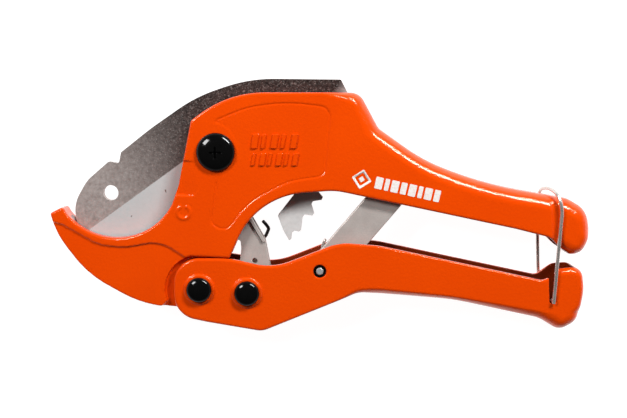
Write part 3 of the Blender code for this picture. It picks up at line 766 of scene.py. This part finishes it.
def fixed_body():
    """Cheeks, hook jaw, handle channel and pivot lug, with a lined panel and a step on each side."""
    f = Field((-67.5, -66.0, 1.2), (147.4, 25.0, 19.8))
    x = f.x[:, None]
    y = f.y[None, :]
    outline = f.flat(body_outline())
    half = CAST_HALF + 0.1 * np.minimum(x + 24.0, 0) + 0 * y
    above = smooth_step(y + 12.6 + 0.307 * (x - 80.0), -2.0, 2.0)
    on_handle = smooth_step(x, 40.0, 58.0)
    on_knob = smooth_step(x, 130.0, 137.0)
    radius = 0.9 + on_handle * above * 5.0 + on_knob * (1 - above) * 3.8
    f.values = f.soft_prism(outline, half, radius)
    f.add(f.soft_prism(f.flat(lug_outline()), LUG_HALF, 0.4), 1.0)

    floor = half - PANEL_DEPTH
    panel = np.maximum(f.flat(panel_outline()), -f.disc((-2.3, 0.9), SCREW_BOSS_R))
    line = np.maximum(np.abs(panel + PANEL_LINE_INSET) - PANEL_LINE_HALF, -f.disc(BLADE_PIVOT, 11.5))
    step = np.maximum(f.flat(hook_step_outline()), -f.disc(HANDLE_PIVOT, 13.6))
    for side in (1, -1):
        for flat, depth in ((panel, floor), (step, half - HOOK_STEP), (line, floor - PANEL_LINE_DEPTH)):
            low, high = (depth, THROUGH) if side > 0 else (-THROUGH, -depth)
            f.remove(f.layer(flat, low, high), FILLET)

    # A sloping pocket in the near cheek beside the blade screw, and a broken raised ring below it
    pocket = f.flat(rounded([(-20.0, -3.0), (-7.2, -3.6, 2.0), (-7.8, -16.9, 2.0), (-20.0, -16.4)]))
    slope = CAST_HALF - 0.75 * np.clip((-7.6 - x) / 5.0, 0, 1) + 0 * y
    f.remove(f.layer(pocket, slope, THROUGH), FILLET)
    ring = np.abs(f.disc(ROUND_MARK, 2.45)) - 0.45
    opening = f.flat([ROUND_MARK, (-15.0, -18.0), (-10.2, -18.0)])
    f.add(f.layer(np.maximum(ring, -opening), CAST_HALF - 2, CAST_HALF + 0.32), 0.5)

    f.hollow_out(f.layer(f.flat(blade_sweep_outline()), -SLOT_HALF, SLOT_HALF), 0.3)
    f.hollow_out(f.layer(f.flat(body_hollow_outline()), -CHANNEL_HALF, CHANNEL_HALF), 0.6)
    f.remove(f.layer(f.disc(BLADE_PIVOT, BLADE_SCREW_R + GAP), -THROUGH, THROUGH), 0.3)
    f.remove(f.layer(f.disc(HANDLE_PIVOT, PIN_R + GAP), -THROUGH, THROUGH), 0.3)
    clip_seat = f.flat([(129.2, -10.0), (132.4, -10.0), (134.2, -40.0), (131.0, -40.0)])
    f.remove(f.layer(clip_seat, CAST_HALF - 0.7, THROUGH), 1.0)
    return skin("body_casting", f)


def cast_ribs():
    """Two short rows of raised ribs in the panel, in place of cast marks."""
    floor = CAST_HALF - PANEL_DEPTH
    bm = bmesh.new()
    for row, (low, high, count) in enumerate(((1.3, 7.0, 5), (-5.3, -0.3, 6))):
        pitch = 18.8 / count
        for k in range(count):
            left = 13.4 + pitch * k
            width = pitch * (0.40 if (k + row) % 2 else 0.66)
            rings = []
            for inset, level in ((0.0, floor - 0.1), (0.0, floor), (RIB_TAPER, floor + RIB_HEIGHT)):
                corners = [(left + inset, low + inset, 0.3), (left + width - inset, low + inset, 0.3),
                           (left + width + RIB_LEAN - inset, high - inset, 0.3),
                           (left + RIB_LEAN + inset, high - inset, 0.3)]
                rings.append([bm.verts.new((x, y, MID + level)) for x, y in rounded(corners, 20)])
            for ring, above in zip(rings, rings[1:]):
                for i in range(len(ring)):
                    after = (i + 1) % len(ring)
                    bm.faces.new((ring[i], ring[after], above[after], above[i]))
            bm.faces.new(rings[0])
            bm.faces.new(rings[-1])
    ribs = finish_mesh("cast_ribs", bm, COAT)
    soften(ribs, 0.1, 2)
    return ribs


def moving_handle():
    """Ears, grip channel and end knob, with raised pads, the link's pin hole and the clip's slot and hole."""
    f = Field((-20.0, -72.5, 0.6), (145.0, -33.0, 20.4))
    x = f.x[:, None]
    y = f.y[None, :]
    outline = f.flat(handle_outline())
    below = smooth_step(-52.0 + 0.0 * x - y - 0.13 * np.maximum(x - 60.0, 0), -3.0, 3.0)
    on_grip = smooth_step(x, 46.0, 66.0)
    on_knob = smooth_step(x, 129.0, 135.0)
    radius = 1.0 + on_grip * (below * 3.4 - (1 - below) * 0.3 * (1 - on_knob)) + on_knob * 1.8
    radius = np.minimum(radius, 5.0)
    f.values = f.soft_prism(outline, CAST_HALF, radius)
    for pivot in (HANDLE_PIVOT, PAWL_PIVOT):
        f.add(f.soft_prism(f.disc(pivot, PIN_PAD_R), CAST_HALF + PIN_PAD_H, 0.15), 0.15)
    # The backs of the ears are flat, without pads
    f.values = np.maximum(f.values, -(f.up + CAST_HALF))
    f.hollow_out(f.layer(f.flat(grip_hollow_outline()), -EAR_GAP_HALF, EAR_GAP_HALF), 0.5)
    for pivot in (HANDLE_PIVOT, PAWL_PIVOT):
        f.remove(f.layer(f.disc(pivot, PIN_R + GAP), -THROUGH, THROUGH), 0.3)
    f.remove(f.layer(f.disc(STRUT_PIVOT, STRUT_HOLE_R), -THROUGH, THROUGH), 0.4)
    slot = arc(CLIP_PIVOT, CLIP_WIRE_R + 0.55, 180, 360, 16)
    slot += [(CLIP_PIVOT[0] + 0.4, -44.0), (CLIP_PIVOT[0] - 2.0, -44.0)]
    f.remove(f.layer(f.flat(slot), 0, THROUGH), 0.4)
    f.remove(f.layer(f.disc(CLIP_PIVOT, CLIP_WIRE_R + 0.5), -THROUGH, 0), 0.2)
    return skin("handle_casting", f)


# Steel parts and fastenings

def ground_wedge(side):
    """The steel ground away beside the cutting edge."""
    turn = math.radians(GRIND_ANGLE)
    toward_edge = Vector((math.sin(turn), -math.cos(turn), 0))
    lean = (BLADE_HALF - GRIND_EDGE / 2) / GRIND_WIDTH
    width = GRIND_WIDTH + 12
    height = 6.0
    bm = bmesh.new()
    rows = []
    for base in (Vector((*GRIND_START, 0)), Vector((*GRIND_END, 0))):
        row = []
        for across, rise in ((0.0, 0.0), (width, -lean * width), (width, height), (0.0, height)):
            point = base + toward_edge * across
            row.append(bm.verts.new((point.x, point.y, MID + side * (BLADE_HALF + rise))))
        rows.append(row)
    for k in range(4):
        after = (k + 1) % 4
        bm.faces.new((rows[0][k], rows[0][after], rows[1][after], rows[1][k]))
    bm.faces.new(rows[0])
    bm.faces.new(rows[1])
    return finish_mesh("cutter", bm)


def blade():
    """A plate with teeth on its tail, ground on both sides to its edge."""
    plate = prism("blade_plate", blade_outline(), -BLADE_HALF, BLADE_HALF, BLADE_STEEL)
    for side in (1, -1):
        cut(plate, ground_wedge(side))
    cut(plate, cylinder(BLADE_PIVOT, BLADE_SCREW_R + GAP, -4, 4))
    cut(plate, cylinder(HANG_HOLE[:2], HANG_HOLE[2], -4, 4))
    soften(plate, 0.35, 2)
    return plate


def dome(radius, low, height, steps=14):
    """Profile of a head: a short rounded rim, then an elliptical dome to the middle."""
    profile = [(radius - 0.2, low), (radius, low + 0.2)]
    for step in range(steps + 1):
        angle = math.radians(90 * step / steps)
        profile.append((radius * math.cos(angle) if step < steps else 0.0,
                        low + HEAD_RIM + (height - HEAD_RIM) * math.sin(angle)))
    return profile


def blade_screw():
    """A domed screw with a cross slot."""
    low = CAST_HALF + HEAD_GAP
    end = -CAST_HALF - 1.4
    profile = [(0.0, end), (BLADE_SCREW_R, end), (BLADE_SCREW_R, low)]
    screw = turned("blade_screw_head", BLADE_PIVOT, profile + dome(BLADE_HEAD_R, low, BLADE_HEAD_H), BLACK)
    top = low + BLADE_HEAD_H
    for x, y in ((2.3, 0.42), (0.42, 2.3)):
        bar = [(-x, -y, 0.3), (x, -y, 0.3), (x, y, 0.3), (-x, y, 0.3)]
        cut(screw, prism("cutter", rounded(bar, 20), top - 1.5, top + 1))
    return screw


def blade_nut():
    """A round nut with flats, which the tool stands on."""
    nut = turned("blade_nut_ring", BLADE_PIVOT,
                 [(0.0, -MID), (BLADE_NUT_R - 0.5, -MID), (BLADE_NUT_R - 0.15, -MID + 0.15),
                  (BLADE_NUT_R, -MID + 0.5), (BLADE_NUT_R, -CAST_HALF - GAP), (0.0, -CAST_HALF - GAP)], BLACK)
    flats = [(6.2, 7.0), (6.2, -7.0), (-6.2, -7.0), (-6.2, 7.0)]
    cut(nut, prism("cutter", rounded(flats), -MID - 1, -CAST_HALF + 1), "INTERSECT")
    cut(nut, cylinder(BLADE_PIVOT, BLADE_SCREW_R + GAP, -CAST_HALF - 1.7, -CAST_HALF + 1))
    return nut


def headed_pin(name, pivot):
    """A pin through both ears, with a domed head on its pad."""
    low = CAST_HALF + PIN_PAD_H + HEAD_GAP
    end = -CAST_HALF - PIN_CAP_H
    profile = [(0.0, end), (PIN_R - 0.4, end), (PIN_R, end + 0.4), (PIN_R, low)]
    return turned(name, pivot, profile + dome(PIN_HEAD_R, low, PIN_HEAD_H), BLACK)


def pin_retainer(name, pivot):
    """A cap pressed on the back end of a pin."""
    inner = PIN_R + GAP
    low = -CAST_HALF - PIN_CAP_H
    ring = [(inner, low), (PIN_HEAD_R - 0.8, low), (PIN_HEAD_R - 0.25, low + 0.15), (PIN_HEAD_R, low + 0.5),
            (PIN_HEAD_R, -CAST_HALF - GAP), (inner, -CAST_HALF - GAP), (inner, low)]
    return turned(name, pivot, ring, BLACK)


def pawl():
    """Two plates joined by a back, with a bent flange and a groove on the near plate."""
    piece = prism("pawl_plates", pawl_outline(), -PAWL_OUTER, PAWL_OUTER, STEEL)
    hollow = rounded([(0.0, -20.0), (0.0, -66.0), (13.0, -66.0), (16.6, -56.0, 4), (18.6, -49.0, 4),
                      (20.4, -46.5), (30.0, -46.0), (30.0, -20.0)])
    cut(piece, prism("cutter", hollow, -PAWL_INNER, PAWL_INNER))
    cut(piece, cylinder(PAWL_PIVOT, PIN_R + GAP, -6, 6))
    cut(piece, cylinder(drive_point(), DRIVE_PIN_R + GAP, -6, 6))
    cut(piece, cylinder((14.5, -42.9), 1.1, PAWL_INNER - 0.5, 6, 32))
    flange = [(18.6, -35.0), (13.0, -25.6), (12.2, -26.1), (17.8, -35.5)]
    groove = [(17.8, -35.5), (12.2, -26.1), (11.8, -26.4), (17.4, -35.8)]
    cut(piece, prism("cutter", flange, PAWL_OUTER - 0.3, PAWL_OUTER + 0.9), "UNION")
    cut(piece, prism("cutter", groove, PAWL_OUTER - 0.8, 6))
    soften(piece, 0.12, 2)
    return piece


def drive_pin():
    """A rivet through the pawl's plates, headed at both ends."""
    head = PAWL_OUTER + GAP
    half = [(1.8, head), (1.8, head + 0.25), (1.5, head + 0.5), (0.0, head + 0.55)]
    profile = [(radius, -height) for radius, height in reversed(half)]
    return turned("pawl_rivet", drive_point(), profile + [(DRIVE_PIN_R, -head), (DRIVE_PIN_R, head)] + half,
                  PIN_STEEL, 40)


def strut_pin_and_hole_shade():
    """A bright pin core, and black rings filling the hole round it, all short of the casting's face; the
    black rings are painted shade for the inside of the hole.
    """
    end = CAST_HALF - 0.4
    shade_ring = [(STRUT_PIN_R, -end), (STRUT_HOLE_R - 0.15, -end), (STRUT_HOLE_R, -end + 0.2),
              (STRUT_HOLE_R, -EAR_GAP_HALF), (STRUT_PIN_R, -EAR_GAP_HALF), (STRUT_PIN_R, -end)]
    raised = [(radius, -height) for radius, height in reversed(shade_ring)]
    pin = [(0.0, -end - 0.2), (1.1, -end - 0.2), (STRUT_PIN_R, -end + 0.1),
           (STRUT_PIN_R, end - 0.1), (1.1, end + 0.2), (0.0, end + 0.2)]
    # The two black rings are painted shade in the hole round the pin.
    return (turned("strut_pin_core", STRUT_PIVOT, pin, PIN_STEEL, 40),
            turned("strut_hole_shade_lower", STRUT_PIVOT, shade_ring, BLACK, 48),
            turned("strut_hole_shade_upper", STRUT_PIVOT, raised, BLACK, 48))


def strut():
    """A flat link with a hole at each end."""
    corners = [(*strut_point(-5.2, -STRUT_LEFT), 4.6), (*strut_point(STRUT_LENGTH + 5.0, -STRUT_LEFT), 5),
               (*strut_point(STRUT_LENGTH + 5.0, STRUT_RIGHT), 6), (*strut_point(-5.2, STRUT_RIGHT), 6)]
    plate = prism("strut_plate", rounded(corners), STRUT_LOW, STRUT_HIGH, STEEL)
    cut(plate, cylinder(STRUT_PIVOT, STRUT_PIN_R + GAP, 0, 8))
    cut(plate, cylinder(strut_point(STRUT_LENGTH, 1.3), 1.6 + GAP, 0, 8))
    soften(plate, 0.35, 3)
    return plate


def pawl_spring_path():
    """A leg held by the lower handle, a coil round the pawl's pin, and a hook over the pawl's edge."""
    level = MID - PAWL_OUTER - GAP - 0.45
    rise = 1.1
    path = [(8.0, -60.8, level - rise), (8.15, -58.6, level - rise)]
    path += coil(PAWL_PIVOT, 3.5, 200, 510, level - rise, rise, 24)
    return path + [(16.2, -46.5, level), (17.6, -36.0, level), (18.6, -33.8, level),
                   (19.4, -31.9, level + 0.4), (19.6, -31.0, level + 0.8), (18.8, -29.6, level + 1.2),
                   (17.4, -28.0, level + 1.4)]


def strut_spring_path():
    """A leg in the grip channel, a coil round the link's pin, and a leg under the link."""
    low = MID - EAR_GAP_HALF + 1.0
    rise = STRUT_LOW + EAR_GAP_HALF - 2.0
    path = [(56.0, -47.4, low), (50.0, -49.6, low), (44.6, -50.0, low)]
    path += coil(STRUT_PIVOT, 3.0, -70, 360 * 4.25, low, rise, 51)
    high = low + rise
    return path + [(*strut_point(6.6, -4.0), high), (*strut_point(8.2, -STRUT_LEFT - 0.4), high),
                   (*strut_point(10.4, -STRUT_LEFT - 0.9), high)]


def blade_spring_path():
    """A leg in the cheek, a coil round the blade's screw, and a leg along the blade."""
    low = MID - CHANNEL_HALF + 0.9
    rise = 1.7
    path = [(22.0, 12.5, low), (12.0, 9.6, low), (5.0, 7.9, low)]
    path += coil(BLADE_PIVOT, 7.1, 80, 360 * 1.4, low, rise, 22)
    return path + [(-3.5, -9.0, low + rise), (6.0, -12.5, low + rise)]


def clip_path():
    """One wire: a foot in the near wall's slot and the far wall's hole, two legs, and an arch between."""
    x, y = CLIP_PIVOT
    up = MID + CLIP_HALF
    down = MID - CLIP_HALF
    near = [(x, y, MID + EAR_GAP_HALF + 0.8), (x, y, up - 0.9), (x + 0.1, y + 0.4, up - 0.15),
            (x + 0.2, y + 1.6, up)]
    far = [(x - 1.6, y + 6.0, down), (x - 0.3, y + 1.3, down), (x - 0.05, y + 0.3, down + 0.2),
           (x, y, down + 0.9), (x, y, MID - EAR_GAP_HALF - 0.8)]
    arch = [(133.0, -29.0, up), (133.3, -24.0, up), (133.1, -21.0, up - 0.1), (132.5, -18.4, up - 0.6),
            (131.7, -16.4, up - 2.0), (131.0, -15.3, up - 4.6), (130.4, -14.8, MID + 1.0),
            (129.7, -14.8, MID - 3.0), (129.0, -15.5, down + 3.0), (128.5, -17.2, down + 0.9),
            (128.3, -20.5, down), (128.3, -30.0, down), (128.8, -45.0, down)]
    return near + arch + far


def diamond(half, radius):
    """A square standing on its corner, with rounded corners."""
    return [(half, 0.0, radius), (0.0, half, radius), (-half, 0.0, radius), (0.0, -half, radius)]


def printed_mark():
    """A plain diamond and a row of bars, printed on the fixed handle's near cheek."""
    tilt = math.radians(-12.5)
    centre = Vector((56.1, -10.4))
    low = CAST_HALF + 0.02
    high = low + 0.05
    half = 2.3
    left = 5.4
    shapes = []
    for width in (2.9, 1.7, 2.9, 2.3, 2.9, 1.7, 2.9, 2.3):
        right = left + width
        shapes.append([(left, -half, 0.35), (right, -half, 0.35), (right, half, 0.35), (left, half, 0.35)])
        left = right + 0.85
    shapes.append(diamond(1.25, 0.2))

    def placed(corners):
        result = []
        for x, y in rounded(corners, 15):
            result.append((centre.x + x * math.cos(tilt) - y * math.sin(tilt),
                           centre.y + x * math.sin(tilt) + y * math.cos(tilt)))
        return result

    mark = prism("printed_mark", placed(diamond(3.9, 0.4)), low, high, INK)
    cut(mark, prism("cutter", placed(diamond(2.7, 0.4)), low - 1, low + 1))
    for shape in shapes:
        cut(mark, prism("cutter", placed(shape), low, high), "UNION")
    return mark


# Assembly

def build_pieces():
    fit(fixed_body(), "fixed_side", "fixed_body")
    for piece in (printed_mark(), cast_ribs()):
        trim(piece, "fixed_side")
    fit(blade_screw(), "fixed_side", "blade_screw")
    fit(blade_nut(), "fixed_side", "blade_nut")
    fit(wire("blade_spring_wire", smooth_path(blade_spring_path(), 3), BLADE_SPRING_R, BLACK_WIRE),
        "fixed_side", "blade_spring")
    fit(blade(), "blade_side", "blade")
    fit(moving_handle(), "handle_side", "moving_handle")
    fit(headed_pin("handle_pin_head", HANDLE_PIVOT), "handle_side", "handle_pin")
    fit(pin_retainer("handle_pin_cap", HANDLE_PIVOT), "handle_side", "handle_pin_retainer")
    fit(headed_pin("pawl_pin_head", PAWL_PIVOT), "handle_side", "pawl_pin")
    fit(pin_retainer("pawl_pin_cap", PAWL_PIVOT), "handle_side", "pawl_pin_retainer")
    fit(wire("strut_spring_wire", smooth_path(strut_spring_path(), 3), STRUT_SPRING_R, BRIGHT_WIRE),
        "handle_side", "strut_spring")
    fit(pawl(), "pawl_side", "pawl")
    fit(drive_pin(), "pawl_side", "pawl_drive_pin")
    fit(wire("pawl_spring_wire", smooth_path(pawl_spring_path(), 3), PAWL_SPRING_R, BLACK_WIRE),
        "pawl_side", "pawl_spring")
    fit(strut(), "strut_side", "strut")
    fit(wire("clip_wire", smooth_path(clip_path(), 8), CLIP_WIRE_R, BRIGHT_WIRE), "clip_side", "wire_clip")
    core, *shade_rings = strut_pin_and_hole_shade()
    fit(core, "handle_side", "strut_pin")
    # The black rings, painted shade in the link's pin hole, ride on the handle.
    for shade_ring in shade_rings:
        trim(shade_ring, "handle_side")
    for node in ("blade_spacer_upper", "blade_spacer_lower", "strut_slide_pin"):
        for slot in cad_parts[node].material_slots:
            slot.material = PIN_STEEL


# Studio

def build_floor():
    """A wide white floor, just below the tool, bright enough to melt into the walls."""
    mat = new_material("white_floor", Roughness=0.9, Base_Color=(0.25, 0.25, 0.25, 1),
                       Emission_Color=(1, 1, 1, 1), Emission_Strength=FLOOR_GLOW)
    bm = bmesh.new()
    bmesh.ops.create_grid(bm, x_segments=1, y_segments=1, size=3000)
    floor = finish_mesh("floor", bm, mat, None)
    floor.location.z = -FLOOR_DROP


def build_world():
    """White light, strongest from the walls and weak from overhead."""
    world = bpy.data.worlds.new("studio")
    world.use_nodes = True
    tree = world.node_tree
    background = tree.nodes["Background"]
    split = tree.nodes.new("ShaderNodeSeparateXYZ")
    fade = tree.nodes.new("ShaderNodeMapRange")
    limits = {"From Min": 0.1, "From Max": 0.45, "To Min": WALL_LIGHT, "To Max": CEILING_LIGHT}
    for name, number in limits.items():
        fade.inputs[name].default_value = number
    tree.links.new(tree.nodes.new("ShaderNodeTexCoord").outputs["Generated"], split.inputs[0])
    tree.links.new(split.outputs["Z"], fade.inputs["Value"])
    tree.links.new(fade.outputs[0], background.inputs["Strength"])
    background.inputs["Color"].default_value = (1, 1, 1, 1)
    bpy.context.scene.world = world


def build_lights():
    """Two softboxes on the side of the upper handle, turned towards the tool."""
    for name, azimuth, tilt, width, height, power in SOFTBOXES:
        light = bpy.data.lights.new(name, "AREA")
        light.shape = "RECTANGLE"
        light.size = width
        light.size_y = height
        light.energy = power
        lamp = bpy.data.objects.new(name, light)
        turn, lean = math.radians(azimuth), math.radians(tilt)
        toward = Vector((math.cos(turn) * math.sin(lean), math.sin(turn) * math.sin(lean), math.cos(lean)))
        lamp.location = Vector(LIGHT_TARGET) + toward * LIGHT_DISTANCE
        lamp.rotation_euler = toward.to_track_quat("Z", "Y").to_euler()
        bpy.context.scene.collection.objects.link(lamp)


def build_camera():
    """A view from almost straight above, as the tool lies."""
    camera = bpy.data.cameras.new("camera")
    camera.sensor_width = 36.0
    camera.lens = CAMERA_LENS
    view = bpy.data.objects.new("camera", camera)
    view.location = CAMERA_PLACE
    view.rotation_euler = (math.radians(CAMERA_TILT), 0, 0)
    bpy.context.scene.collection.objects.link(view)
    bpy.context.scene.camera = view


build_pieces()
build_floor()
build_world()
build_lights()
build_camera()
bpy.context.scene.view_settings.view_transform = "Standard"
